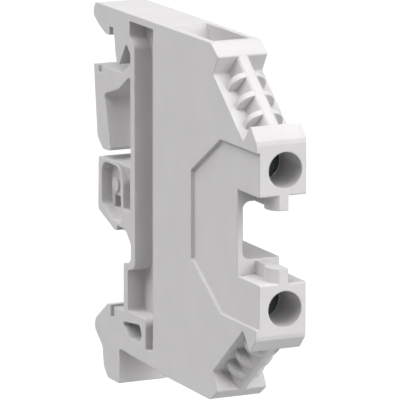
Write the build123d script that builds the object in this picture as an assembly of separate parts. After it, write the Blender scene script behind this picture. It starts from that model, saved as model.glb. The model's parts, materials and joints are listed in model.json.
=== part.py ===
from build123d import *
import math
import os

# Feed-through terminal block for a 35 mm mounting rail, in millimetres.
# X runs along the rail, the front faces -Y and Z is up. The origin is the middle of the
# rail, in the front plane of its two lips. Outlines are drawn as (depth, height): depth
# grows from the rail towards the front. Heights of the clamping half are measured from
# the level midway between the two screws, and the lower half mirrors the upper one.

# Mounting rail that the foot grips
rail_width = 35.0
rail_lip_thickness = 1.0
rail_hat_inner_width = 25.0
lip_end_clearance = 0.05
lip_face_clearance = 0.05

# Moulded block
block_thickness = 6.2
block_height = 41.5
terminal_drop = 0.85
rear_wall_depth = 4.9
wall = 0.9
closed_wall = 0.5
slot_closed_wall = 0.63
edge_round = 0.2
bottom_taper_angle = 2.04
bottom_taper_depth = 15.0

# Nose over each wire entry
nose_top_depth = 27.0
nose_round = 1.6
nose_lean = 0.35
nose_front_step = 0.6
nose_drop = 3.5

# Slanted face between nose and tower, with its ladder of fins
slope_angle = 39.2
slope_length = 10.2
ladder_height = 2.45
ladder_offset = 0.08
ladder_root = 0.3
ladder_cover = 0.05
spine_top_width = 1.3
spine_base_width = 2.5
spine_crest_round = 0.55
spine_lap = 0.2
fin_pitch = 2.8
fin_first = 1.93
fin_thickness = 0.75
fin_width = 4.46
fin_height = 2.3
fin_shoulder = 1.8

# Screw towers and the notch between them
tower_facet_rise = 2.8
tower_front_step = 1.57
tower_edge_drop = 1.575
tower_bevel_height = 0.5
tower_bevel_depth = 0.12
screw_inset = 3.45
notch_inset = 2.95
notch_depth = 5.65
slot_ledge = 1.64
slot_lift = 0.16
slot_wall_inset = 0.54
slot_round = 0.95
tab_far = 0.9
tab_reach = 1.68
tab_round = 2.17
tab_round_place = 1.14
tab_round_setback = 1.71
tab_foot_length = 3.0
tab_foot_near = -0.37
tab_foot_step = 0.1

# Shallow field sunk into the closed side of the towers
field_sink = 0.42
field_edge_inset = 1.3
field_slant_start = 9.35
field_slant_length = 7.8
field_slant_height = 4.9

# Terminal screws
screw_thread_diameter = 3.0
screw_head_diameter = 4.0
screw_head_length = 2.0
screw_head_sink = 5.7
screw_slot_width = 0.8
screw_slot_depth = 1.0
screw_edge = 0.1
screw_tip_edge = 0.4
access_bore_diameter = 4.15
thread_clearance = 0.05
tip_clearance = 0.05

# Current bar
bar_thickness = 1.2
bar_front_depth = 23.8
bar_end_reach = 2.65
bar_shoulder = 0.8
bar_shoulder_clearance = 0.05
bar_hole_diameter = 2.5
bar_groove_depth = 0.2
bar_groove_pitch = 0.8
bar_groove_count = 5

# Clamp cages
wire_gap = 3.2
cage_floor = 1.0
cage_side = 0.7
cage_top = 2.4
cage_length = 5.5
cage_round = 0.7
cage_closed_clearance = 0.18
cage_open_clearance = 0.1
cage_bar_side_clearance = 0.1
cage_bar_front_clearance = 0.2
cage_back_clearance = 0.3
cage_end_clearance = 0.25

# Wire entries in the two ends
entry_rear_wall = 3.15
entry_front_wall = 1.0
entry_closed_wall = 0.85
entry_open_wall = 0.75

# Rear channel of the closed side, and the rail wall beside it
rear_wall_thickness = 1.2
channel_front_depth = 11.15
channel_floor = 2.2
channel_top_margin = 0.85
channel_draft = 0.2
channel_jog_height = -9.9
channel_jog = 2.1
channel_round = 0.3

# Hollows of the open side
core_web = 1.0
core_count = 4
core_rib = 0.9
core_column_width = 3.8
core_round = 0.4
core_small_round = 0.3

# Fixed hook over the upper lip, with the finger that presses on the lip's front
hook_reach = 5.8
hook_wall = 2.4
hook_tip_drop = 0.95
hook_shoulder_step = 0.6
hook_knob_rise = 0.95
hook_knob_lean = 0.1
hook_heel_depth = 4.1
hook_heel_drop = 0.15
hook_tip_width = 1.1
hook_round = 0.8
finger_tip_drop = 4.05
finger_tip_depth = 1.15
finger_tip_width = 0.6
finger_root_depth = 0.3
finger_neck_depth = 0.7
finger_neck_rise = 1.0
finger_valley_depth = 3.75
finger_valley_drop = 1.25
finger_foot_drop = 2.4
finger_round = 0.35

# Upper leg, which hangs from a bridge inside the rail
leg_reach = 5.65
leg_side_clearance = 0.1
bridge_rise = 1.4
bridge_knee_depth = 2.4
bridge_round = 1.5
bridge_under_depth = 4.3
bridge_under_drop = 0.3
bridge_slit_depth = 1.65
bridge_slit_drop = 2.0
leg_tip_height = 2.45
leg_tip_step = 0.1
leg_tip_rear_depth = 3.1
leg_tip_front_depth = 0.8
leg_heel_depth = 4.7
leg_heel_height = 3.7
leg_neck_depth = 1.2
leg_neck_height = 4.3
leg_waist_depth = 2.15
leg_waist_height = 7.9
leg_armpit_depth = 2.75
leg_armpit_height = 9.15
leg_small_round = 0.5
leg_groove_rear = 4.2
leg_groove_front = 3.0
leg_groove_drop = 0.8
leg_groove_depth = 0.3

# Lower leg, closed at its foot and hollow on the closed side
lower_leg_top = 1.38
lower_leg_rear_depth = 4.35
lower_leg_draft = 0.25
lower_leg_corner_height = -5.1
lower_leg_bottom = -6.85
lower_leg_front_depth = 3.5
lower_leg_step = 0.55
lower_leg_foot_rise = 0.9
lower_leg_root = 2.0
lower_leg_round = 0.8
outer_pocket_depth = 1.3
outer_pocket_wall = 0.85
outer_pocket_top = 1.0
outer_pocket_front = 1.9
outer_pocket_belly = 2.15
outer_pocket_foot = -5.75
outer_pocket_toe = -0.6
outer_pocket_heel = -4.2
pocket_pad_diameter = 1.9
pocket_pad_rise = 0.25
pocket_pad_place = -1.94
pocket_pad_height = -1.79
pocket_slot_depth = 3.0
pocket_slot_rear = -2.5
pocket_slot_front = -0.75
pocket_slot_top = -3.1
pocket_slot_low = -4.6
pocket_rib = 0.6
inner_pocket_start = -0.3
inner_pocket_shallow = 0.1
inner_pocket_depth = 1.6
inner_pocket_deep_height = -2.6
pocket_turn_depth = 1.6
pocket_turn_height = 1.1
pocket_belly_height = -0.7
inner_pocket_foot = -3.9
inner_pocket_wall = 0.15
pocket_round = 1.5
toe_notch_rear = 0.9
toe_notch_front = 3.2
toe_notch_top = -6.2
toe_notch_depth = 0.6

# Springing latch under the lower lip, and the corner that carries it
latch_seat_drop = 0.2
latch_neck_drop = 1.2
latch_reach = 5.9
latch_shoulder_depth = 1.9
latch_knob_drop = 2.5
latch_knob_step = 0.4
latch_knob_low_drop = 3.7
latch_waist_depth = 3.5
latch_waist_rise = 3.6
latch_heel_depth = 3.1
latch_heel_rise = 1.1
latch_foot_drop = 7.95
latch_foot_rear_depth = 1.9
latch_front_depth = 1.5
latch_round = 0.9
latch_corner_depth = 12.0
eye_rear_depth = 2.2
eye_front_depth = 7.95
eye_drop = 1.3
eye_height = 2.25
eye_round = 0.6
relief_rear_depth = 9.05
relief_front_depth = 11.1
relief_drop = 0.25
relief_height = 2.9
relief_floor = 0.8
neck_round = 1.0
lower_pocket_gap = 0.3

# Levels and places worked out from the sizes above
half_thickness = block_thickness / 2
closed_face = -half_thickness
open_face = half_thickness
half_height = block_height / 2
block_top = half_height - terminal_drop
block_bottom = -half_height - terminal_drop
lip_end = rail_width / 2
rail_inside = rail_hat_inner_width / 2
slope_along = (math.cos(math.radians(slope_angle)), -math.sin(math.radians(slope_angle)))
slope_out = (-slope_along[1], slope_along[0])
slope_start_depth = nose_top_depth + nose_front_step
slope_start_height = half_height - nose_drop
facet_corner_depth = slope_start_depth + slope_length * slope_along[0] + tower_facet_rise * slope_out[0]
facet_corner_height = slope_start_height + slope_length * slope_along[1] + tower_facet_rise * slope_out[1]
tower_front_depth = facet_corner_depth + tower_front_step
tower_edge_height = facet_corner_height - tower_edge_drop
screw_height = tower_edge_height - screw_inset
notch_half_height = screw_height - notch_inset
notch_floor_depth = tower_front_depth - notch_depth
slot_top = slot_lift + notch_half_height - slot_ledge
slot_bottom = slot_lift - notch_half_height + slot_ledge
slot_wall_edge = open_face - slot_wall_inset
field_face = closed_face + field_sink
inner_face = field_face + closed_wall
slot_near = field_face + slot_closed_wall
cage_near = inner_face + cage_closed_clearance
cage_far = open_face - cage_open_clearance
cage_inner_width = cage_far - cage_near - 2 * cage_side
screw_middle = (cage_near + cage_far) / 2
bar_width = cage_inner_width - 2 * cage_bar_side_clearance
bar_back_depth = bar_front_depth - bar_thickness
cage_inner_back_depth = bar_back_depth - wire_gap
cage_back_depth = cage_inner_back_depth - cage_floor
cage_top_back_depth = bar_front_depth + cage_bar_front_clearance
cage_front_depth = cage_top_back_depth + cage_top
chamber_back_depth = cage_back_depth - cage_back_clearance
chamber_low = screw_height - cage_length / 2 - cage_end_clearance
chamber_high = screw_height + cage_length / 2 + cage_end_clearance
screw_top_depth = tower_front_depth - screw_head_sink
screw_tip_depth = bar_front_depth + tip_clearance
entry_rear_depth = channel_front_depth + entry_rear_wall
entry_front_depth = nose_top_depth - entry_front_wall
channel_back_depth = rear_wall_depth + rear_wall_thickness
foot_root_depth = rear_wall_depth + wall
hook_top = lip_end + hook_wall
lip_back_depth = -rail_lip_thickness - lip_face_clearance
latch_top = -lip_end + latch_neck_drop
latch_bottom = -lip_end - latch_foot_drop
lower_pocket_floor = latch_top + lower_pocket_gap


def side_plane(x):
    """Sketch plane across the block at x: its axes are depth and height."""
    return Plane(origin=(x, 0, 0), x_dir=(0, -1, 0), z_dir=(-1, 0, 0))


def outline(points):
    """Face through (depth, height) or (depth, height, corner radius) points."""
    places = [point[:2] for point in points]
    radii = [point[2] if len(point) > 2 else 0 for point in points]
    if any(radii):
        return make_face(FilletPolyline(*places, radius=radii, close=True))
    return make_face(Polyline(*places, close=True))


def slab(points, x_from, x_to):
    """Solid of an outline between two places across the block."""
    return extrude(side_plane(x_to) * outline(points), amount=x_to - x_from)


def along_depth(points, depth_from, depth_to):
    """Solid of an (x, height) outline between two depths."""
    plane = Plane(origin=(0, -depth_from, 0), x_dir=(1, 0, 0), z_dir=(0, -1, 0))
    return extrude(plane * outline(points), amount=depth_to - depth_from)


def block(x_from, x_to, depth_from, depth_to, height_from, height_to):
    """Box between pairs of places."""
    size = (x_to - x_from, depth_to - depth_from, height_to - height_from)
    middle = ((x_from + x_to) / 2, -(depth_from + depth_to) / 2, (height_from + height_to) / 2)
    return Pos(*middle) * Box(*size)


def on_slope(along, out):
    """Place (depth, height) that lies along and out from the start of the slanted face."""
    return (
        slope_start_depth + along * slope_along[0] + out * slope_out[0],
        slope_start_height + along * slope_along[1] + out * slope_out[1],
    )


def bottom_edge(depth):
    """Height of the tapering lower end at a depth behind the taper's start."""
    return block_bottom + (bottom_taper_depth - depth) * math.tan(math.radians(bottom_taper_angle))


def raised(part):
    """Part drawn about the level between the screws, moved to its true height."""
    return Pos(0, 0, -terminal_drop) * part


def both_halves(part):
    """Part of the upper half together with its mirror image in the lower half."""
    return part + mirror(part, about=Plane.XY)


def front_half_outline():
    """Corners of the upper half, from the nose round the tower to the notch."""
    nose_corner = on_slope(-nose_lean, ladder_height + ladder_cover)
    return [
        (nose_top_depth, half_height, nose_round),
        (*nose_corner, edge_round),
        (*on_slope(0, 0), edge_round),
        (*on_slope(slope_length, 0), 0),
        (facet_corner_depth, facet_corner_height, edge_round),
        (tower_front_depth - tower_bevel_depth, tower_edge_height, 0),
        (tower_front_depth, tower_edge_height - tower_bevel_height, 0),
        (tower_front_depth, notch_half_height, edge_round),
        (notch_floor_depth, notch_half_height, 0),
    ]


def block_body():
    """Solid outline of the block in front of the rail foot."""
    upper = front_half_outline()
    lower = [(point[0], -point[1], point[2]) for point in reversed(upper)]
    rear = [
        (bottom_taper_depth, -half_height),
        (rear_wall_depth, bottom_edge(rear_wall_depth) + terminal_drop),
        (rear_wall_depth, half_height),
    ]
    return slab(upper + lower + rear, closed_face, open_face)


def hook():
    """Fixed hook over the upper lip of the rail, with the spring finger below it."""
    tip = lip_end - hook_tip_drop
    seat = lip_end + lip_end_clearance
    finger_tip = lip_end - finger_tip_drop
    return [
        (foot_root_depth, hook_top),
        (hook_shoulder_step - hook_reach, hook_top, hook_round),
        (-hook_reach - hook_knob_lean, lip_end + hook_knob_rise, hook_round),
        (-hook_heel_depth, lip_end - hook_heel_drop, hook_round),
        (lip_back_depth - hook_tip_width, tip, finger_round),
        (lip_back_depth, tip),
        (lip_back_depth, seat),
        (0, seat),
        (0, tip + finger_root_depth),
        (finger_root_depth, tip + finger_root_depth),
        (finger_neck_depth, finger_tip + finger_neck_rise),
        (finger_tip_depth, finger_tip, edge_round),
        (finger_tip_depth + finger_tip_width, finger_tip, edge_round),
        (finger_valley_depth, lip_end - finger_valley_drop, finger_round),
        (rear_wall_depth, lip_end - finger_foot_drop, finger_round),
        (rear_wall_depth, finger_tip),
        (foot_root_depth, finger_tip),
    ]


def upper_leg():
    """Bridge and hanging leg that stand inside the upper half of the rail."""
    leg_top = rail_inside - leg_side_clearance
    under = rail_inside - bridge_under_drop
    return [
        (foot_root_depth, rail_inside + bridge_rise),
        (rear_wall_depth, rail_inside + bridge_rise, leg_small_round),
        (bridge_knee_depth, leg_top + edge_round, bridge_round),
        (-leg_reach, leg_top, edge_round),
        (-leg_heel_depth, leg_heel_height, bridge_round),
        (-leg_tip_rear_depth, leg_tip_height, lower_leg_round),
        (-leg_tip_front_depth, leg_tip_height + leg_tip_step, finger_round),
        (-leg_neck_depth, leg_neck_height),
        (-leg_waist_depth, leg_waist_height),
        (-leg_armpit_depth, leg_armpit_height, leg_small_round),
        (bridge_slit_depth, rail_inside - bridge_slit_drop, leg_small_round),
        (bridge_under_depth, under, leg_small_round),
        (foot_root_depth, under),
    ]


def lower_leg():
    """Leg that stands inside the lower half of the rail, closed at its foot."""
    return [
        (foot_root_depth, lower_leg_top),
        (-lower_leg_rear_depth, lower_leg_top, finger_round),
        (-lower_leg_rear_depth - lower_leg_draft, lower_leg_corner_height, lower_leg_round),
        (pocket_rib / 2, lower_leg_bottom, finger_round),
        (lower_leg_front_depth, lower_leg_bottom + lower_leg_step, lower_leg_round),
        (rear_wall_depth, lower_leg_bottom - lower_leg_foot_rise, lower_leg_round),
        (rear_wall_depth, lower_leg_bottom - lower_leg_root),
        (foot_root_depth, lower_leg_bottom - lower_leg_root),
    ]


def latch():
    """Springing latch under the lower lip of the rail, with the wall that carries it."""
    seat = -lip_end - latch_seat_drop
    root_height = channel_jog_height + bridge_rise
    low_wall = rear_wall_depth - channel_jog
    return [
        (foot_root_depth, root_height),
        (rear_wall_depth, root_height),
        (rear_wall_depth, channel_jog_height, latch_round),
        (low_wall, channel_jog_height - leg_small_round, edge_round),
        (low_wall, latch_top, channel_round),
        (0, latch_top),
        (0, seat),
        (lip_back_depth, seat),
        (lip_back_depth, latch_top),
        (-latch_shoulder_depth, latch_top, channel_round),
        (latch_knob_step - latch_reach, latch_top - latch_knob_drop, latch_round),
        (-latch_reach, latch_top - latch_knob_low_drop, latch_round),
        (-latch_waist_depth, latch_bottom + latch_waist_rise, latch_round),
        (-latch_heel_depth, latch_bottom + latch_heel_rise, latch_round),
        (-latch_foot_rear_depth, latch_bottom, leg_small_round),
        (latch_front_depth, latch_bottom, edge_round),
        (latch_front_depth, bottom_edge(latch_front_depth), channel_round),
        (latch_corner_depth, bottom_edge(latch_corner_depth)),
        (latch_corner_depth, root_height),
    ]


def foot():
    """Hook, legs and latch that grip the rail."""
    outlines = [hook(), upper_leg(), lower_leg(), latch()]
    return Part() + [slab(points, closed_face, open_face) for points in outlines]


def outer_pocket():
    """Arched hollow in the closed side of the lower leg, with its slot and raised pad."""
    rear = outer_pocket_wall - lower_leg_rear_depth
    floor = closed_face + outer_pocket_depth
    hollow = slab(
        [
            (rear, outer_pocket_top, pocket_round),
            (outer_pocket_front, outer_pocket_top, pocket_round),
            (outer_pocket_belly, outer_pocket_foot, pocket_rib),
            (outer_pocket_toe, outer_pocket_foot, pocket_rib),
            (rear, outer_pocket_heel, pocket_rib),
        ],
        closed_face - wall,
        floor,
    )
    slot = block(floor - wall, floor + pocket_slot_depth, pocket_slot_rear, pocket_slot_front,
                 pocket_slot_low, pocket_slot_top)
    pad = Pos(floor, -pocket_pad_place, pocket_pad_height) * Rot(Y=90) * Cylinder(
        pocket_pad_diameter / 2, 2 * pocket_pad_rise)
    return hollow + slot - pad


def inner_pocket():
    """Hollow beside the arched one, which gets deeper towards its foot."""
    above = lower_leg_top + wall
    low = inner_pocket_foot - wall
    front = rear_wall_depth - inner_pocket_wall
    belly = outer_pocket_belly + pocket_rib
    hollow = slab(
        [
            (inner_pocket_start, above),
            (inner_pocket_start, lower_leg_top),
            (pocket_turn_depth, pocket_turn_height, pocket_round),
            (belly, pocket_belly_height, pocket_round),
            (belly, inner_pocket_foot, core_small_round),
            (front, inner_pocket_foot, core_small_round),
            (front, above),
        ],
        closed_face - wall,
        closed_face + inner_pocket_depth,
    )
    ramp = [
        (closed_face - wall, above),
        (closed_face + inner_pocket_shallow, above),
        (closed_face + inner_pocket_shallow, lower_leg_top),
        (closed_face + inner_pocket_depth, inner_pocket_deep_height),
        (closed_face + inner_pocket_depth, low),
        (closed_face - wall, low),
    ]
    return hollow & along_depth(ramp, inner_pocket_start - wall, front + wall)


def leg_hollows():
    """Hollows and small notches in the closed side of the two legs."""
    toe_notch = block(closed_face - wall, closed_face + toe_notch_depth, toe_notch_rear,
                      toe_notch_front, lower_leg_bottom - wall, toe_notch_top)
    leg_top = rail_inside - leg_side_clearance
    groove = block(closed_face - wall, closed_face + leg_groove_depth, -leg_groove_rear,
                   -leg_groove_front, leg_top - leg_groove_drop, leg_top + wall)
    return outer_pocket() + inner_pocket() + toe_notch + groove


def latch_hollows():
    """Openings that let the latch spring."""
    eye_top = latch_top - eye_drop + eye_round
    eye_low = eye_top - eye_height
    middle = (eye_rear_depth + eye_front_depth) / 2
    eye = slab(
        [
            (eye_rear_depth, eye_top - eye_round, eye_round / 2),
            (eye_front_depth - eye_round, eye_top, eye_round),
            (eye_front_depth, eye_top - eye_height / 2, eye_round),
            (eye_front_depth - eye_round, eye_low, eye_round / 2),
            (middle - eye_round, eye_low, eye_round),
        ],
        closed_face - wall,
        open_face + wall,
    )
    top = latch_top - relief_drop
    relief = slab(
        [
            (relief_rear_depth, top - relief_drop, edge_round),
            (relief_front_depth, top, edge_round),
            (relief_front_depth, top - relief_height, edge_round),
            (relief_rear_depth, top - relief_height - relief_drop, edge_round),
        ],
        closed_face - wall,
        open_face - relief_floor,
    )
    return eye + relief


def rear_channel():
    """Long channel in the closed side, with the pocket and neck at its lower end."""
    low_back = channel_back_depth - channel_jog
    neck_low = latch_top - relief_drop - relief_height / 2
    top = block_top - channel_top_margin
    points = [
        (rear_wall_depth - channel_draft, top),
        (channel_front_depth + channel_draft, top),
        (channel_front_depth, neck_low),
        (relief_rear_depth, neck_low),
        (relief_rear_depth, lower_pocket_floor, neck_round),
        (low_back, lower_pocket_floor, channel_round),
        (low_back, channel_jog_height - rear_wall_thickness),
        (channel_back_depth, channel_jog_height - leg_small_round, latch_round),
        (channel_back_depth, lip_end - finger_valley_drop, latch_round),
        (rear_wall_depth - channel_draft, lip_end - channel_round, leg_small_round),
    ]
    return slab(points, closed_face - wall, closed_face + channel_floor)


def tower_field():
    """Shallow sunk field on the closed side of the two towers and the notch."""
    half = tower_edge_height - field_edge_inset
    corner = tower_front_depth - field_slant_start
    upper = [
        (tower_front_depth + wall, half),
        (corner, half),
        (corner - field_slant_length, half - field_slant_height),
    ]
    lower = [(point[0], -point[1]) for point in reversed(upper)]
    return slab(upper + lower, closed_face - wall, field_face)


def ladder():
    """Spine and arched fins that stand on the upper slanted face."""
    start = on_slope(0, 0)
    plane = Plane(
        origin=(ladder_offset, -start[0], start[1]),
        x_dir=(1, 0, 0),
        z_dir=(0, -slope_along[0], slope_along[1]),
    )
    spine_start = -nose_lean - spine_lap
    spine_section = outline(
        [
            (-spine_base_width / 2, -ladder_root),
            (-spine_base_width / 2, 0),
            (-spine_top_width / 2, ladder_height, spine_crest_round),
            (spine_top_width / 2, ladder_height, spine_crest_round),
            (spine_base_width / 2, 0),
            (spine_base_width / 2, -ladder_root),
        ]
    )
    spine = extrude(plane.offset(spine_start) * spine_section, amount=slope_length - spine_start)
    fin_section = outline(
        [
            (-fin_width / 2, -ladder_root),
            (-fin_width / 2, fin_height, fin_shoulder),
            (fin_width / 2, fin_height, fin_shoulder),
            (fin_width / 2, -ladder_root),
        ]
    )
    fin_count = int((slope_length - fin_first - fin_thickness) / fin_pitch) + 1
    fins = [
        extrude(plane.offset(fin_first + index * fin_pitch) * fin_section, amount=fin_thickness)
        for index in range(fin_count)
    ]
    return spine + fins


def wire_entry():
    """Funnel from the mouth in the upper end down to the gap under the bar."""
    near = closed_face + entry_closed_wall
    far = open_face - entry_open_wall
    mouth = Pos((near + far) / 2, -(entry_rear_depth + entry_front_depth) / 2) * Rectangle(
        far - near, entry_front_depth - entry_rear_depth)
    throat = Pos(screw_middle, -(cage_inner_back_depth + bar_back_depth) / 2) * Rectangle(
        cage_inner_width, wire_gap)
    throat_plane = Plane.XY.offset(chamber_high - tip_clearance)
    mouth_plane = Plane.XY.offset(half_height + wall / 2)
    return loft([(throat_plane * throat).face(), (mouth_plane * mouth).face()])


def clamp_hollows():
    """Hollows of the upper clamp: its chamber, wire entry and screwdriver bore."""
    chamber = block(inner_face, open_face + wall, chamber_back_depth, notch_floor_depth,
                    chamber_low, chamber_high)
    bore_length = notch_depth + 2 * wall
    bore_middle = notch_floor_depth + notch_depth / 2
    bore = Pos(screw_middle, -bore_middle, screw_height) * Rot(X=90) * Cylinder(
        access_bore_diameter / 2, bore_length)
    return chamber + wire_entry() + bore


def dividing_walls():
    """Walls above and below the middle slot that end just in front of the bar."""
    front = bar_front_depth + tip_clearance
    above = block(inner_face, slot_wall_edge, front, notch_floor_depth, slot_top, chamber_low)
    below = block(inner_face, slot_wall_edge, front, notch_floor_depth, -chamber_low, slot_bottom)
    return above + below


def middle_hollow():
    """Slot between the dividing walls, from the notch down to the bar and its seat."""
    reach = chamber_low + wall
    front = bar_front_depth + tip_clearance
    far = open_face + wall
    slot_section = [
        (slot_near, slot_bottom, slot_round),
        (slot_near, slot_top, slot_round),
        (far, slot_top),
        (far, slot_bottom),
    ]
    slot = along_depth(slot_section, bar_back_depth, notch_floor_depth + wall)
    bar_way = block(inner_face, open_face + wall, bar_back_depth, front, -reach, reach)
    rim = block(slot_wall_edge, open_face + wall, bar_back_depth, notch_floor_depth, -reach, reach)
    return slot + bar_way + rim


def tab():
    """Rounded rib on the notch side of the upper tower, with its lower foot."""
    root = notch_half_height + edge_round
    low = notch_half_height - tab_reach
    back = notch_floor_depth + tab_foot_length
    post = Pos(tab_round_place, tab_round_setback - tower_front_depth, (low + root) / 2) * Cylinder(
        tab_round, root - low)
    front = post & block(tab_far - tab_round * 2, tab_far, back, tower_front_depth, low, root)
    foot_part = block(tab_foot_near, tab_far, notch_floor_depth - edge_round, back + edge_round,
                      low + tab_foot_step, root)
    return front + foot_part


def open_side_cores():
    """Lightening pockets of the open side behind the rear channel, parted by ribs."""
    lowest = lower_pocket_floor + terminal_drop + core_rib / 2
    pitch = (half_height - wall + core_rib - lowest) / core_count
    core_floor = closed_face + channel_floor + core_web
    cores = []
    for index in range(core_count):
        low = lowest + index * pitch
        high = low + pitch - core_rib
        pocket = [
            (channel_back_depth, low, core_round),
            (channel_front_depth, low, core_round),
            (channel_front_depth, high, core_round),
            (channel_back_depth, high, core_round),
        ]
        cores.append(slab(pocket, core_floor, open_face + wall))
    return Part() + cores


def middle_column():
    """Deep pocket of the open side between the rear column and the clamp, upper half."""
    rear = channel_front_depth + wall
    front = min(rear + core_column_width, chamber_back_depth - wall)
    top = half_height - 2 * wall
    points = [
        (rear, core_rib / 2, core_round),
        (front, core_rib / 2, core_round),
        (front, chamber_high, core_round),
        (entry_rear_depth - wall, top, core_round),
        (rear, top, core_round),
    ]
    return slab(points, inner_face, open_face + wall)


def nose_core():
    """Three-sided pocket of the open side under the upper slanted face."""
    low = chamber_high + wall
    under_face = -1.5 * wall
    top = on_slope(wall, under_face)
    front = on_slope(slope_length / 2 + under_face / 2 + wall, under_face)
    points = [
        (top[0] - 2 * wall, low, core_small_round),
        (front[0], low, core_small_round),
        (top[0] - core_round, top[1], core_small_round),
    ]
    return slab(points, inner_face, open_face + wall)


def housing():
    """The one moulding that holds everything and grips the rail."""
    part = raised(block_body()) + foot()
    part -= rear_channel()
    part -= leg_hollows()
    part -= latch_hollows()
    part -= raised(tower_field())
    part += raised(both_halves(ladder()))
    part -= raised(both_halves(clamp_hollows()))
    part -= raised(middle_hollow())
    part += raised(dividing_walls())
    part += raised(both_halves(tab()))
    part -= raised(open_side_cores())
    part -= raised(both_halves(middle_column()))
    part -= raised(both_halves(nose_core()))
    return part


def current_bar():
    """Flat bar between the clamps, with a shoulder, a tapped hole and grooved ends."""
    near = screw_middle - bar_width / 2
    far = screw_middle + bar_width / 2
    half_length = screw_height + bar_end_reach
    shoulder_half = chamber_low - bar_shoulder_clearance
    bar = block(near, far, bar_back_depth, bar_front_depth, -half_length, half_length)
    bar += block(near - bar_shoulder, near, bar_back_depth, bar_front_depth,
                 -shoulder_half, shoulder_half)
    middle = (near - bar_shoulder + far) / 2
    bar -= Pos(middle, -bar_front_depth, 0) * Rot(X=90) * Cylinder(
        bar_hole_diameter / 2, 4 * bar_thickness)
    first = screw_height - bar_groove_pitch * (bar_groove_count - 1) / 2
    groove_side = bar_groove_depth * math.sqrt(2)
    groove = Rot(X=45) * Box(2 * bar_width, groove_side, groove_side)
    grooves = [
        Pos(screw_middle, -bar_back_depth, first + index * bar_groove_pitch) * groove
        for index in range(bar_groove_count)
    ]
    return bar - both_halves(Part() + grooves)


def clamp_cage():
    """Folded clamping yoke of the upper clamp, wide open, with its tapped front wall."""
    depth_middle = (cage_back_depth + cage_front_depth) / 2
    depth_size = cage_front_depth - cage_back_depth
    ground = Plane.XY.offset(screw_height - cage_length / 2)
    outer = Pos(screw_middle, -depth_middle) * RectangleRounded(
        cage_far - cage_near, depth_size, cage_round)
    window_middle = (cage_inner_back_depth + cage_top_back_depth) / 2
    window_size = cage_top_back_depth - cage_inner_back_depth
    window = Pos(screw_middle, -window_middle) * Rectangle(cage_inner_width, window_size)
    cage = extrude(ground * (outer - window), amount=cage_length)
    hole = Pos(screw_middle, -(cage_front_depth - cage_top / 2), screw_height) * Rot(
        X=90) * Cylinder(screw_thread_diameter / 2 + thread_clearance, 2 * cage_top)
    return cage - hole


def terminal_screw():
    """Slotted screw of the upper clamp, standing on the bar."""
    head_depth = screw_top_depth - screw_head_length
    shank_length = head_depth - screw_tip_depth
    on_base = (Align.CENTER, Align.CENTER, Align.MIN)
    shank = Cylinder(screw_thread_diameter / 2, shank_length, align=on_base)
    shank = chamfer(shank.edges().group_by(Axis.Z)[0], screw_tip_edge)
    head = Pos(0, 0, shank_length) * Cylinder(
        screw_head_diameter / 2, screw_head_length, align=on_base)
    head = chamfer(head.edges().group_by(Axis.Z)[-1], screw_edge)
    slot = Pos(0, 0, shank_length + screw_head_length) * Box(
        screw_slot_width, 2 * screw_head_diameter, 2 * screw_slot_depth)
    screw = shank + head - slot
    return Pos(screw_middle, -screw_tip_depth, screw_height) * Rot(X=90) * screw


os.makedirs("parts", exist_ok=True)
export_step(housing(), "parts/housing.step")
export_step(raised(current_bar()), "parts/current_bar.step")
export_step(raised(clamp_cage()), "parts/clamp_cage_upper.step")
export_step(raised(mirror(clamp_cage(), about=Plane.XY)), "parts/clamp_cage_lower.step")
export_step(raised(terminal_screw()), "parts/terminal_screw_upper.step")
export_step(raised(mirror(terminal_screw(), about=Plane.XY)), "parts/terminal_screw_lower.step")
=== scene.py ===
"""Looks of a feed-through terminal block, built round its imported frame."""

import json
import logging
import math
from dataclasses import dataclass, field
from enum import Enum

import bmesh
import bpy
from mathutils import Matrix, Vector

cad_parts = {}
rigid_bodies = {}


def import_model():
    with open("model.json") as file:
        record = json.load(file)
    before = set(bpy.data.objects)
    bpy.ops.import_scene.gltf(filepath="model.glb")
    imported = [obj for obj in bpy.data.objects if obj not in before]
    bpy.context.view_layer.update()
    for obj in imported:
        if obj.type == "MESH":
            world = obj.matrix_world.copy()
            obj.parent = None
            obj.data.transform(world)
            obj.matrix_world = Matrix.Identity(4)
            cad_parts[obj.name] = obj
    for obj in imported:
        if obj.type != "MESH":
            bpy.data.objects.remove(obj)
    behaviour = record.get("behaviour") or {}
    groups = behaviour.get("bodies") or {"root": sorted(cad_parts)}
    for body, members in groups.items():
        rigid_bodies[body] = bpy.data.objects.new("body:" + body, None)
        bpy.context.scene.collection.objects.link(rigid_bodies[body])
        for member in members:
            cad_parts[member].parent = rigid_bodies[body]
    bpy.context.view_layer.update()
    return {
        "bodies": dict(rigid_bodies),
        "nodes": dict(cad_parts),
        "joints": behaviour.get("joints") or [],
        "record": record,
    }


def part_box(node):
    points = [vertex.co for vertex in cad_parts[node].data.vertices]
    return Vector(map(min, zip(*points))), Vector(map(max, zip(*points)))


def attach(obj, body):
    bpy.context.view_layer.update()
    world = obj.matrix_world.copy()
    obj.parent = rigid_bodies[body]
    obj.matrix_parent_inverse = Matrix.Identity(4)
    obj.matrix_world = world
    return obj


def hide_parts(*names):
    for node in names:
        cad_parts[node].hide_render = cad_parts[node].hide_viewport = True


log = logging.getLogger("terminal_block")

Colour = tuple[float, float, float, float]

MM = 0.001
WHITE: Colour = (1.0, 1.0, 1.0, 1.0)

# Nearly all of a noise's values lie between these two.
NOISE_LOW = 0.3
NOISE_HIGH = 0.7

# Rays that the shader sends out to round an edge.
EDGE_RAYS = 6


class Half(Enum):
    """The two clamping halves of the block."""

    UPPER = "upper"
    LOWER = "lower"


def linear(level: float) -> float:
    """Turns a display level from 0 to 255 into a linear one from 0 to 1."""
    share = level / 255.0
    return share / 12.92 if share <= 0.04045 else ((share + 0.055) / 1.055) ** 2.4


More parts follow.
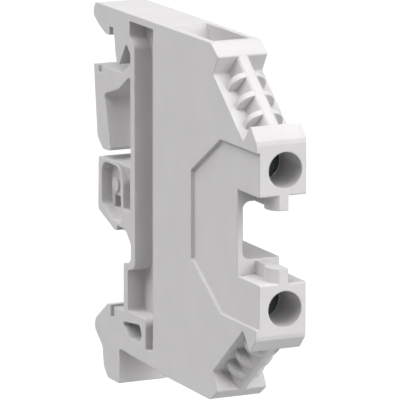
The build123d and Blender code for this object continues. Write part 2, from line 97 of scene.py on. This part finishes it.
def colour(red: float, green: float, blue: float) -> Colour:
    """Gives the linear colour of three display levels from 0 to 255."""
    return (linear(red), linear(green), linear(blue), 1.0)


def link_mesh(name: str, mesh: bpy.types.Mesh) -> bpy.types.Object:
    """Makes an object of a mesh and puts it in the scene.

    Args:
        name: The name of the object and of its mesh.
        mesh: The mesh, with its place in it.

    Returns:
        The object, at the origin.
    """
    mesh.name = name
    made = bpy.data.objects.new(name, mesh)
    bpy.context.scene.collection.objects.link(made)
    return made


def dress(piece: bpy.types.Object, material: bpy.types.Material) -> None:
    """Gives a piece one material in place of those that it has."""
    piece.data.materials.clear()
    piece.data.materials.append(material)


def dress_node(node: bpy.types.Object, material: bpy.types.Material) -> None:
    """Gives a carried-over node a material through its object's slots.

    Args:
        node: The node's object, whose mesh is left as it is.
        material: The material for all its slots.
    """
    for entry in node.material_slots:
        entry.link = "OBJECT"
        entry.material = material


def bake_modifiers(piece: bpy.types.Object) -> None:
    """Replaces a piece's mesh with what its modifiers make of it.

    Args:
        piece: The object, which is left without modifiers.
    """
    graph = bpy.context.evaluated_depsgraph_get()
    mesh = bpy.data.meshes.new_from_object(piece.evaluated_get(graph))
    piece.modifiers.clear()
    old = piece.data
    piece.data = mesh
    mesh.name = piece.name
    bpy.data.meshes.remove(old)


def smooth(piece: bpy.types.Object, angle: float = 30.0) -> None:
    """Shades a piece's round faces as one surface.

    Args:
        piece: The object whose mesh is shaded.
        angle: The smallest turn between two faces that stays a sharp edge, in degrees.
    """
    piece.data.shade_smooth()
    piece.data.set_sharp_from_angle(angle=math.radians(angle))


def soften(piece: bpy.types.Object, width: float, segments: int = 2, angle: float = 35.0) -> None:
    """Rounds a piece's sharp edges.

    Args:
        piece: The object whose mesh is changed.
        width: The width of each round, in metres.
        segments: The faces across a round.
        angle: The smallest turn between two faces that is rounded, in degrees.
    """
    bevel = piece.modifiers.new("soft_edges", "BEVEL")
    bevel.width = width
    bevel.segments = segments
    bevel.limit_method = "ANGLE"
    bevel.angle_limit = math.radians(angle)
    bake_modifiers(piece)


def box_piece(name: str, low: Vector, high: Vector) -> bpy.types.Object:
    """Makes a box between two corners.

    Args:
        name: The object's name.
        low: Its lowest corner.
        high: Its highest corner.

    Returns:
        The box as an object at the origin.
    """
    mesh = bmesh.new()
    bmesh.ops.create_cube(mesh, size=1.0)
    size = high - low
    bmesh.ops.transform(
        mesh, verts=mesh.verts,
        matrix=Matrix.Translation((low + high) / 2) @ Matrix.Diagonal((*size, 1.0)))
    data = bpy.data.meshes.new(name)
    mesh.to_mesh(data)
    mesh.free()
    return link_mesh(name, data)


def join_pieces(name: str, pieces: list[bpy.types.Object]) -> bpy.types.Object:
    """Joins several meshes at the origin into one piece.

    Args:
        name: The joined piece's name.
        pieces: The objects to join, which are removed.

    Returns:
        The joined piece.
    """
    mesh = bmesh.new()
    for piece in pieces:
        mesh.from_mesh(piece.data)
    data = bpy.data.meshes.new(name)
    mesh.to_mesh(data)
    mesh.free()
    for piece in pieces:
        bpy.data.objects.remove(piece)
    return link_mesh(name, data)


class NodeSketch:
    """A material's node tree, with short calls to add and join its nodes."""

    def __init__(self, name: str) -> None:
        """Starts an empty material with an output and a shader of its own.

        Args:
            name: The material's name.
        """
        self.material = bpy.data.materials.new(name)
        self.material.use_nodes = True
        self.tree = self.material.node_tree
        self.tree.nodes.clear()
        self.output = self.add("ShaderNodeOutputMaterial")
        self.shader = self.add("ShaderNodeBsdfPrincipled")
        self.join(self.shader, "BSDF", self.output, "Surface")

    def add(self, kind: str, **inputs: object) -> bpy.types.Node:
        """Adds one node.

        Args:
            kind: The node's type name.
            inputs: Values for its sockets, with underscores for spaces.

        Returns:
            The new node.
        """
        node = self.tree.nodes.new(kind)
        for key, value in inputs.items():
            node.inputs[key.replace("_", " ")].default_value = value
        return node

    def join(self, source: bpy.types.Node, out: str | int, target: bpy.types.Node,
             into: str | int) -> None:
        """Joins a socket of one node to a socket of another.

        Args:
            source: The node that gives the value.
            out: The name or number of its output.
            target: The node that takes the value.
            into: The name or number of its input.
        """
        self.tree.links.new(source.outputs[out], target.inputs[into])

    def object_place(self, stretch: tuple[float, float, float] = (1.0, 1.0, 1.0)) -> bpy.types.Node:
        """Adds object coordinates, stretched along each axis.

        Args:
            stretch: How much finer a pattern gets along X, Y and Z.

        Returns:
            A node whose Vector output gives the stretched place.
        """
        place = self.add("ShaderNodeTexCoord")
        mapping = self.add("ShaderNodeMapping", Scale=stretch)
        self.join(place, "Object", mapping, "Vector")
        return mapping

    def noise(self, place: bpy.types.Node, scale: float, detail: float = 3.0) -> bpy.types.Node:
        """Adds a noise.

        Args:
            place: A node whose Vector output gives the place.
            scale: How many grains there are to a metre.
            detail: How many finer layers the noise has.

        Returns:
            The noise node, whose Fac output holds the number.
        """
        node = self.add("ShaderNodeTexNoise", Scale=scale, Detail=detail)
        self.join(place, "Vector", node, "Vector")
        return node

    def spread(self, source: bpy.types.Node, low: float, high: float) -> bpy.types.Node:
        """Adds a node that turns a noise into numbers between two values.

        Args:
            source: A noise node.
            low: The value where the noise is low.
            high: The value where it is high.

        Returns:
            A node whose Result output holds the number.
        """
        node = self.add("ShaderNodeMapRange")
        node.inputs["From Min"].default_value = NOISE_LOW
        node.inputs["From Max"].default_value = NOISE_HIGH
        node.inputs["To Min"].default_value = low
        node.inputs["To Max"].default_value = high
        self.join(source, "Fac", node, "Value")
        return node

    def tint(self, source: bpy.types.Node, dark: Colour, pale: Colour) -> bpy.types.Node:
        """Adds a ramp between two colours that a noise drives.

        Args:
            source: A noise node.
            dark: The colour where the noise is low.
            pale: The colour where it is high.

        Returns:
            A node whose Color output holds the colour.
        """
        ramp = self.add("ShaderNodeValToRGB")
        low, high = ramp.color_ramp.elements
        low.position, low.color = NOISE_LOW, dark
        high.position, high.color = NOISE_HIGH, pale
        self.join(source, "Fac", ramp, "Fac")
        return ramp

    def round_edges(self, radius: float, relief: bpy.types.Node, height: float) -> None:
        """Gives the shader softly rounded edges and a fine relief.

        Args:
            radius: The radius of the edges, in metres.
            relief: A noise node that draws the relief.
            height: The height of the relief, in metres.
        """
        edge = self.add("ShaderNodeBevel", Radius=radius)
        edge.samples = EDGE_RAYS
        bump = self.add("ShaderNodeBump", Strength=1.0, Distance=height)
        self.join(relief, "Fac", bump, "Height")
        self.join(edge, "Normal", bump, "Normal")
        self.join(bump, "Normal", self.shader, "Normal")


@dataclass(frozen=True)
class MouldedPlastic:
    """Light grey moulded plastic with a finely eroded mould texture."""

    name: str = "housing_plastic"
    dark: Colour = colour(192, 190, 191)
    pale: Colour = colour(197, 195, 196)
    rough_low: float = 0.6
    rough_high: float = 0.7
    ior: float = 1.46
    gloss: float = 0.25
    edge_radius: float = 0.2 * MM
    grain: float = 7000.0
    grain_detail: float = 2.0
    grain_height: float = 0.004 * MM
    cloud: float = 260.0

    def make(self) -> bpy.types.Material:
        """Builds the material.

        Returns:
            The plastic, with soft edges and a fine grain.
        """
        sketch = NodeSketch(self.name)
        place = sketch.object_place()
        cloud = sketch.noise(place, self.cloud)
        tint = sketch.tint(cloud, self.dark, self.pale)
        rough = sketch.spread(cloud, self.rough_low, self.rough_high)
        grain = sketch.noise(place, self.grain, self.grain_detail)
        sketch.round_edges(self.edge_radius, grain, self.grain_height)
        sketch.join(tint, "Color", sketch.shader, "Base Color")
        sketch.join(rough, "Result", sketch.shader, "Roughness")
        sketch.shader.inputs["IOR"].default_value = self.ior
        sketch.shader.inputs["Specular IOR Level"].default_value = self.gloss
        return sketch.material


@dataclass(frozen=True)
class PlatedMetal:
    """Plated metal with rolling marks drawn along one axis."""

    name: str
    dark: Colour
    pale: Colour
    rough_low: float = 0.26
    rough_high: float = 0.42
    stretch: tuple[float, float, float] = (1.0, 1.0, 12.0)
    streak: float = 900.0
    streak_height: float = 0.002 * MM
    patch: float = 300.0
    edge_radius: float = 0.06 * MM

    def make(self) -> bpy.types.Material:
        """Builds the material.

        Returns:
            The metal, with streaks in its colour, gloss and relief.
        """
        sketch = NodeSketch(self.name)
        streaks = sketch.noise(sketch.object_place(self.stretch), self.streak)
        patches = sketch.noise(sketch.object_place(), self.patch)
        tint = sketch.tint(patches, self.dark, self.pale)
        rough = sketch.spread(streaks, self.rough_low, self.rough_high)
        sketch.round_edges(self.edge_radius, streaks, self.streak_height)
        sketch.join(tint, "Color", sketch.shader, "Base Color")
        sketch.join(rough, "Result", sketch.shader, "Roughness")
        sketch.shader.inputs["Metallic"].default_value = 1.0
        return sketch.material


ZINC = PlatedMetal("zinc_plated_steel", colour(176, 178, 184), colour(204, 205, 208))
# The screw metal is painted much darker than its real plating. This is painted shade for the head,
# which sits deep in its shaded bore.
SCREW_PAINTED_SHADE_METAL = PlatedMetal("screw_steel_painted_shade", colour(96, 102, 106), colour(116, 122, 125),
                         stretch=(1.0, 10.0, 1.0), edge_radius=0.02 * MM)
TIN = PlatedMetal("tinned_copper", colour(196, 190, 180), colour(216, 211, 202))


class ThreadTree:
    """Geometry nodes that wind a screw thread round a core."""

    def __init__(self) -> None:
        """Builds the tree once, for every thread of the block."""
        self.group = bpy.data.node_groups.new("screw_thread", "GeometryNodeTree")
        face = self.group.interface
        face.new_socket("Geometry", in_out="INPUT", socket_type="NodeSocketGeometry")
        face.new_socket("Geometry", in_out="OUTPUT", socket_type="NodeSocketGeometry")
        for name in ("Mid Radius", "Turns", "Length", "Ridge Height", "Root Width", "Crest Width"):
            face.new_socket(name, in_out="INPUT", socket_type="NodeSocketFloat")
        face.new_socket("Steps", in_out="INPUT", socket_type="NodeSocketInt")
        face.new_socket("Start", in_out="INPUT", socket_type="NodeSocketVector")
        face.new_socket("Turn", in_out="INPUT", socket_type="NodeSocketVector")
        face.new_socket("Material", in_out="INPUT", socket_type="NodeSocketMaterial")
        self.build()

    def build(self) -> None:
        """Adds the nodes: a helix, its ridge profile, and the move to its axis."""
        nodes = self.group.nodes
        given = nodes.new("NodeGroupInput")
        spiral = nodes.new("GeometryNodeCurveSpiral")
        upright = nodes.new("GeometryNodeSetCurveNormal")
        upright.mode = "Z_UP"
        profile = nodes.new("GeometryNodeCurvePrimitiveQuadrilateral")
        profile.mode = "TRAPEZOID"
        profile.inputs["Offset"].default_value = 0.0
        quarter = nodes.new("GeometryNodeTransform")
        quarter.inputs["Rotation"].default_value = (0.0, 0.0, math.pi / 2)
        sweep = nodes.new("GeometryNodeCurveToMesh")
        sweep.inputs["Fill Caps"].default_value = True
        place = nodes.new("GeometryNodeTransform")
        realize = nodes.new("GeometryNodeRealizeInstances")
        paint = nodes.new("GeometryNodeSetMaterial")
        result = nodes.new("NodeGroupOutput")
        for source, out, target, into in (
            (given, "Steps", spiral, "Resolution"),
            (given, "Turns", spiral, "Rotations"),
            (given, "Mid Radius", spiral, "Start Radius"),
            (given, "Mid Radius", spiral, "End Radius"),
            (given, "Length", spiral, "Height"),
            (given, "Ridge Height", profile, "Height"),
            (given, "Root Width", profile, "Bottom Width"),
            (given, "Crest Width", profile, "Top Width"),
            (spiral, "Curve", upright, "Curve"),
            (profile, "Curve", quarter, "Geometry"),
            (upright, "Curve", sweep, "Curve"),
            (quarter, "Geometry", sweep, "Profile Curve"),
            (sweep, "Mesh", place, "Geometry"),
            (given, "Start", place, "Translation"),
            (given, "Turn", place, "Rotation"),
            (place, "Geometry", realize, "Geometry"),
            (realize, "Geometry", paint, "Geometry"),
            (given, "Material", paint, "Material"),
            (paint, "Geometry", result, "Geometry"),
        ):
            self.group.links.new(source.outputs[out], target.inputs[into])

    def wind(self, name: str, values: dict[str, object]) -> bpy.types.Object:
        """Winds one thread and turns it into a plain mesh.

        Args:
            name: The new object's name.
            values: One value for each named input of the tree.

        Returns:
            A mesh object at the origin, with its place in its mesh.
        """
        holder = link_mesh(name + "_path", bpy.data.meshes.new(name + "_path"))
        modifier = holder.modifiers.new("thread", "NODES")
        modifier.node_group = self.group
        for item in self.group.interface.items_tree:
            if item.in_out == "INPUT" and item.name in values:
                modifier[item.identifier] = values[item.name]
        graph = bpy.context.evaluated_depsgraph_get()
        mesh = bpy.data.meshes.new_from_object(holder.evaluated_get(graph))
        holder.modifiers.remove(modifier)
        bpy.data.objects.remove(holder)
        return link_mesh(name, mesh)


@dataclass
class Housing:
    """The one moulding that holds everything and grips the rail."""

    frame: dict
    node: str = "housing"
    plastic: MouldedPlastic = field(default_factory=MouldedPlastic)

    def build(self) -> None:
        """Dresses the moulding."""
        dress_node(self.frame["nodes"][self.node], self.plastic.make())
        log.info("housing dressed")


@dataclass
class TerminalScrew:
    """A slotted M3 screw that stands on the bar and lifts the cage."""

    half: Half
    thread: ThreadTree
    metal: bpy.types.Material
    major_radius: float = 1.5 * MM
    core_radius: float = 1.22 * MM
    pitch: float = 0.5 * MM
    head_radius: float = 2.1 * MM
    head_length: float = 2.0 * MM
    head_round: float = 0.02 * MM
    neck_length: float = 0.35 * MM
    tip_chamfer: float = 0.3 * MM
    slot_width: float = 0.8 * MM
    slot_depth: float = 1.0 * MM
    slot_round: float = 0.04 * MM
    ridge_sink: float = 0.075 * MM
    root_share: float = 0.9
    crest_share: float = 0.14
    steps: int = 48
    arc_steps: int = 5
    ridge_steps: int = 24

    def build(self) -> bpy.types.Object:
        """Builds the screw where its node stands.

        Returns:
            The screw, which rides on its body.
        """
        low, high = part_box(f"terminal_screw_{self.half.value}")
        axis = Vector(((low.x + high.x) / 2, high.y, (low.z + high.z) / 2))
        length = high.y - low.y
        body = self.turned_body(axis, length)
        self.cut_slot(body, axis, length)
        ridge = self.thread_ridge(axis, length)
        piece = join_pieces(f"screw_{self.half.value}_turned", [body, ridge])
        smooth(piece)
        dress(piece, self.metal)
        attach(piece, f"screw_{self.half.value}")
        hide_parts(f"terminal_screw_{self.half.value}")
        log.info("%s built", piece.name)
        return piece

    def profile(self, length: float) -> list[tuple[float, float]]:
        """Gives the turned outline of the screw.

        Args:
            length: The screw's whole length.

        Returns:
            Points of (radius, distance from the tip), from the tip to the head.
        """
        shank = length - self.head_length
        points = [
            (0.0, 0.0),
            (self.core_radius - self.tip_chamfer, 0.0),
            (self.core_radius, self.tip_chamfer),
            (self.core_radius, shank),
            (self.head_radius - self.head_round / 2, shank),
            (self.head_radius, shank + self.head_round / 2),
        ]
        for step in range(self.arc_steps + 1):
            turn = math.pi / 2 * step / self.arc_steps
            points.append((
                self.head_radius - self.head_round * (1 - math.cos(turn)),
                length - self.head_round * (1 - math.sin(turn)),
            ))
        points.append((0.0, length))
        return points

    def turned_body(self, axis: Vector, length: float) -> bpy.types.Object:
        """Turns the head and core about the screw's axis.

        Args:
            axis: The middle of the tip's face.
            length: The screw's whole length.

        Returns:
            A closed mesh without its slot.
        """
        mesh = bmesh.new()
        rings = []
        for radius, along in self.profile(length):
            centre = axis + Vector((0.0, -along, 0.0))
            if radius == 0.0:
                rings.append([mesh.verts.new(centre)])
                continue
            rings.append([
                mesh.verts.new(centre + Vector((
                    radius * math.cos(2 * math.pi * step / self.steps), 0.0,
                    radius * math.sin(2 * math.pi * step / self.steps))))
                for step in range(self.steps)
            ])
        for lower, upper in zip(rings, rings[1:]):
            for step in range(self.steps):
                after = (step + 1) % self.steps
                corners = [lower[step % len(lower)], lower[after % len(lower)],
                           upper[after % len(upper)], upper[step % len(upper)]]
                mesh.faces.new(list(dict.fromkeys(corners)))
        bmesh.ops.recalc_face_normals(mesh, faces=mesh.faces)
        data = bpy.data.meshes.new("screw_body")
        mesh.to_mesh(data)
        mesh.free()
        return link_mesh("screw_body", data)

    def cut_slot(self, body: bpy.types.Object, axis: Vector, length: float) -> None:
        """Cuts the driver slot across the head, along the height.

        Args:
            body: The turned screw, whose mesh is changed.
            axis: The middle of the tip's face.
            length: The screw's whole length.
        """
        half_width = self.slot_width / 2
        reach = 2 * self.head_radius
        cutter = box_piece(
            "slot_cutter",
            axis + Vector((-half_width, -length - self.slot_depth, -reach)),
            axis + Vector((half_width, -length + self.slot_depth, reach)),
        )
        cut = body.modifiers.new("slot", "BOOLEAN")
        cut.object = cutter
        cut.solver = "EXACT"
        bake_modifiers(body)
        bpy.data.objects.remove(cutter)
        soften(body, self.slot_round)

    def thread_ridge(self, axis: Vector, length: float) -> bpy.types.Object:
        """Winds the thread over the shank.

        Args:
            axis: The middle of the tip's face.
            length: The screw's whole length.

        Returns:
            The thread's ridge as a mesh object.
        """
        run = length - self.head_length - self.neck_length - self.tip_chamfer
        root_radius = self.core_radius - self.ridge_sink
        return self.thread.wind("screw_ridge", {
            "Mid Radius": (self.major_radius + root_radius) / 2,
            "Turns": run / self.pitch,
            "Length": run,
            "Ridge Height": self.major_radius - root_radius,
            "Root Width": self.pitch * self.root_share,
            "Crest Width": self.pitch * self.crest_share,
            "Steps": self.ridge_steps,
            "Start": axis + Vector((0.0, -self.tip_chamfer, 0.0)),
            "Turn": Vector((math.pi / 2, 0.0, 0.0)),
            "Material": self.metal,
        })


@dataclass
class ClampCage:
    """The folded yoke that pulls the wire against the bar."""

    frame: dict
    half: Half
    metal: bpy.types.Material

    def build(self) -> None:
        """Dresses the yoke's node."""
        dress_node(self.frame["nodes"][f"clamp_cage_{self.half.value}"], self.metal)
        log.info("clamp_cage_%s dressed", self.half.value)


@dataclass
class CurrentBar:
    """The flat bar between the clamps, with its tapped hole."""

    frame: dict
    thread: ThreadTree
    metal: bpy.types.Material
    hole_radius: float = 1.25 * MM
    pitch: float = 0.4 * MM
    ridge_height: float = 0.16 * MM
    root_share: float = 0.85
    crest_share: float = 0.2
    ridge_steps: int = 28

    def build(self) -> bpy.types.Object:
        """Dresses the bar and winds the thread of its middle hole.

        Returns:
            The thread, which rides with the bar.
        """
        low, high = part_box("current_bar")
        dress_node(self.frame["nodes"]["current_bar"], self.metal)
        run = (high.y - low.y) - self.pitch
        middle = (low + high) / 2
        thread = self.thread.wind("bar_hole_thread", {
            "Mid Radius": self.hole_radius - self.ridge_height / 2,
            "Turns": run / self.pitch,
            "Length": run,
            "Ridge Height": -self.ridge_height,
            "Root Width": self.pitch * self.root_share,
            "Crest Width": self.pitch * self.crest_share,
            "Steps": self.ridge_steps,
            "Start": Vector((middle.x, high.y - self.pitch / 2, middle.z)),
            "Turn": Vector((math.pi / 2, 0.0, 0.0)),
            "Material": self.metal,
        })
        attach(thread, "block")
        log.info("current_bar dressed")
        return thread


def seen_directly(tree: bpy.types.NodeTree) -> bpy.types.NodeSocket:
    """Adds nodes that tell the rays that show a surface from those that light others.

    Args:
        tree: The material's or the world's node tree.

    Returns:
        A socket that is 1 for camera, glossy and transmission rays, and 0 for others.
    """
    path = tree.nodes.new("ShaderNodeLightPath")
    share = path.outputs["Is Camera Ray"]
    for name in ("Is Glossy Ray", "Is Transmission Ray"):
        more = tree.nodes.new("ShaderNodeMath")
        more.operation = "MAXIMUM"
        tree.links.new(share, more.inputs[0])
        tree.links.new(path.outputs[name], more.inputs[1])
        share = more.outputs["Value"]
    return share


def aim(azimuth: float, elevation: float) -> Vector:
    """Gives the direction from the block towards a camera or a lamp.

    Args:
        azimuth: The turn away from the block's front, in degrees, negative to its closed side.
        elevation: The rise above the level, in degrees.

    Returns:
        A direction of length one.
    """
    turn = math.radians(azimuth)
    rise = math.radians(elevation)
    level = math.cos(rise)
    return Vector((math.sin(turn) * level, -math.cos(turn) * level, math.sin(rise)))


@dataclass(frozen=True)
class SoftLamp:
    """A wide, even lamp a long way off."""

    name: str
    strength: float
    azimuth: float
    elevation: float
    spread: float = 66.0

    def build(self) -> None:
        """Hangs the lamp."""
        lamp = bpy.data.lights.new(self.name, "SUN")
        lamp.energy = self.strength
        lamp.angle = math.radians(self.spread)
        holder = bpy.data.objects.new(self.name, lamp)
        holder.rotation_euler = aim(self.azimuth, self.elevation).to_track_quat("Z", "Y").to_euler()
        bpy.context.scene.collection.objects.link(holder)


@dataclass
class Studio:
    """Plain pale floor, soft light and the camera."""

    target: Vector = field(default_factory=lambda: Vector((-3.1, -24.15, 1.27)) * MM)
    azimuth: float = -25.2
    elevation: float = 11.7
    distance: float = 514.3 * MM
    lens: float = 405.0
    sensor: float = 36.0
    nearest: float = 0.01
    farthest: float = 100.0
    floor_drop: float = 0.3
    floor_size: float = 12.0
    floor_rough: float = 0.9
    floor_colour: Colour = colour(173, 173, 173)
    floor_glow: float = 0.46
    sky_light: float = 0.08
    lamps: tuple[SoftLamp, ...] = (
        SoftLamp("side_lamp", strength=3.2, azimuth=-100.0, elevation=55.0),
        SoftLamp("front_lamp", strength=3.4, azimuth=25.0, elevation=32.0),
    )

    def build(self) -> None:
        """Sets up the camera, the light, the floor and the view."""
        self.camera()
        self.light()
        self.floor()
        bpy.context.scene.view_settings.view_transform = "Standard"
        log.info("studio built")

    def camera(self) -> None:
        """Places the camera at the photograph's angle."""
        away = aim(self.azimuth, self.elevation)
        lens = bpy.data.cameras.new("camera")
        lens.lens = self.lens
        lens.sensor_width = self.sensor
        lens.clip_start = self.nearest
        lens.clip_end = self.farthest
        camera = bpy.data.objects.new("camera", lens)
        camera.location = self.target + away * self.distance
        camera.rotation_euler = away.to_track_quat("Z", "Y").to_euler()
        bpy.context.scene.collection.objects.link(camera)
        bpy.context.scene.camera = camera

    def light(self) -> None:
        """Hangs the soft lamps and adds the pale surroundings."""
        for lamp in self.lamps:
            lamp.build()
        world = bpy.data.worlds.new("surroundings")
        world.use_nodes = True
        tree = world.node_tree
        sky = tree.nodes["Background"]
        level = tree.nodes.new("ShaderNodeMapRange")
        level.inputs["To Min"].default_value = self.sky_light
        level.inputs["To Max"].default_value = 1.0
        tree.links.new(seen_directly(tree), level.inputs["Value"])
        tree.links.new(level.outputs["Result"], sky.inputs["Strength"])
        sky.inputs["Color"].default_value = WHITE
        bpy.context.scene.world = world

    def floor(self) -> None:
        """Lays the floor well below the block, which hangs on its rail."""
        half = self.floor_size / 2
        corners = [(-half, -half), (half, -half), (half, half), (-half, half)]
        mesh = bpy.data.meshes.new("floor")
        mesh.from_pydata([(x, y, -self.floor_drop) for x, y in corners], [], [(0, 1, 2, 3)])
        floor = link_mesh("floor", mesh)
        sketch = NodeSketch("pale_floor")
        sketch.shader.inputs["Base Color"].default_value = self.floor_colour
        sketch.shader.inputs["Roughness"].default_value = self.floor_rough
        sketch.shader.inputs["Specular IOR Level"].default_value = 0.0
        level = sketch.add("ShaderNodeMath")
        level.operation = "MULTIPLY"
        level.inputs[1].default_value = self.floor_glow
        sketch.tree.links.new(seen_directly(sketch.tree), level.inputs[0])
        glow = sketch.add("ShaderNodeEmission")
        sketch.join(level, "Value", glow, "Strength")
        both = sketch.add("ShaderNodeAddShader")
        sketch.join(sketch.shader, "BSDF", both, 0)
        sketch.join(glow, "Emission", both, 1)
        sketch.join(both, "Shader", sketch.output, "Surface")
        dress(floor, sketch.material)


def main() -> None:
    """Loads the frame, then builds and dresses every piece of the block."""
    logging.basicConfig(level=logging.INFO, format="%(message)s")
    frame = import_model()
    Studio().build()
    thread = ThreadTree()
    Housing(frame).build()
    zinc = ZINC.make()
    screw_painted_shade_metal = SCREW_PAINTED_SHADE_METAL.make()
    for half in Half:
        ClampCage(frame, half, zinc).build()
        TerminalScrew(half, thread, screw_painted_shade_metal).build()
    CurrentBar(frame, thread, TIN.make()).build()


if __name__ == "__main__":
    main()
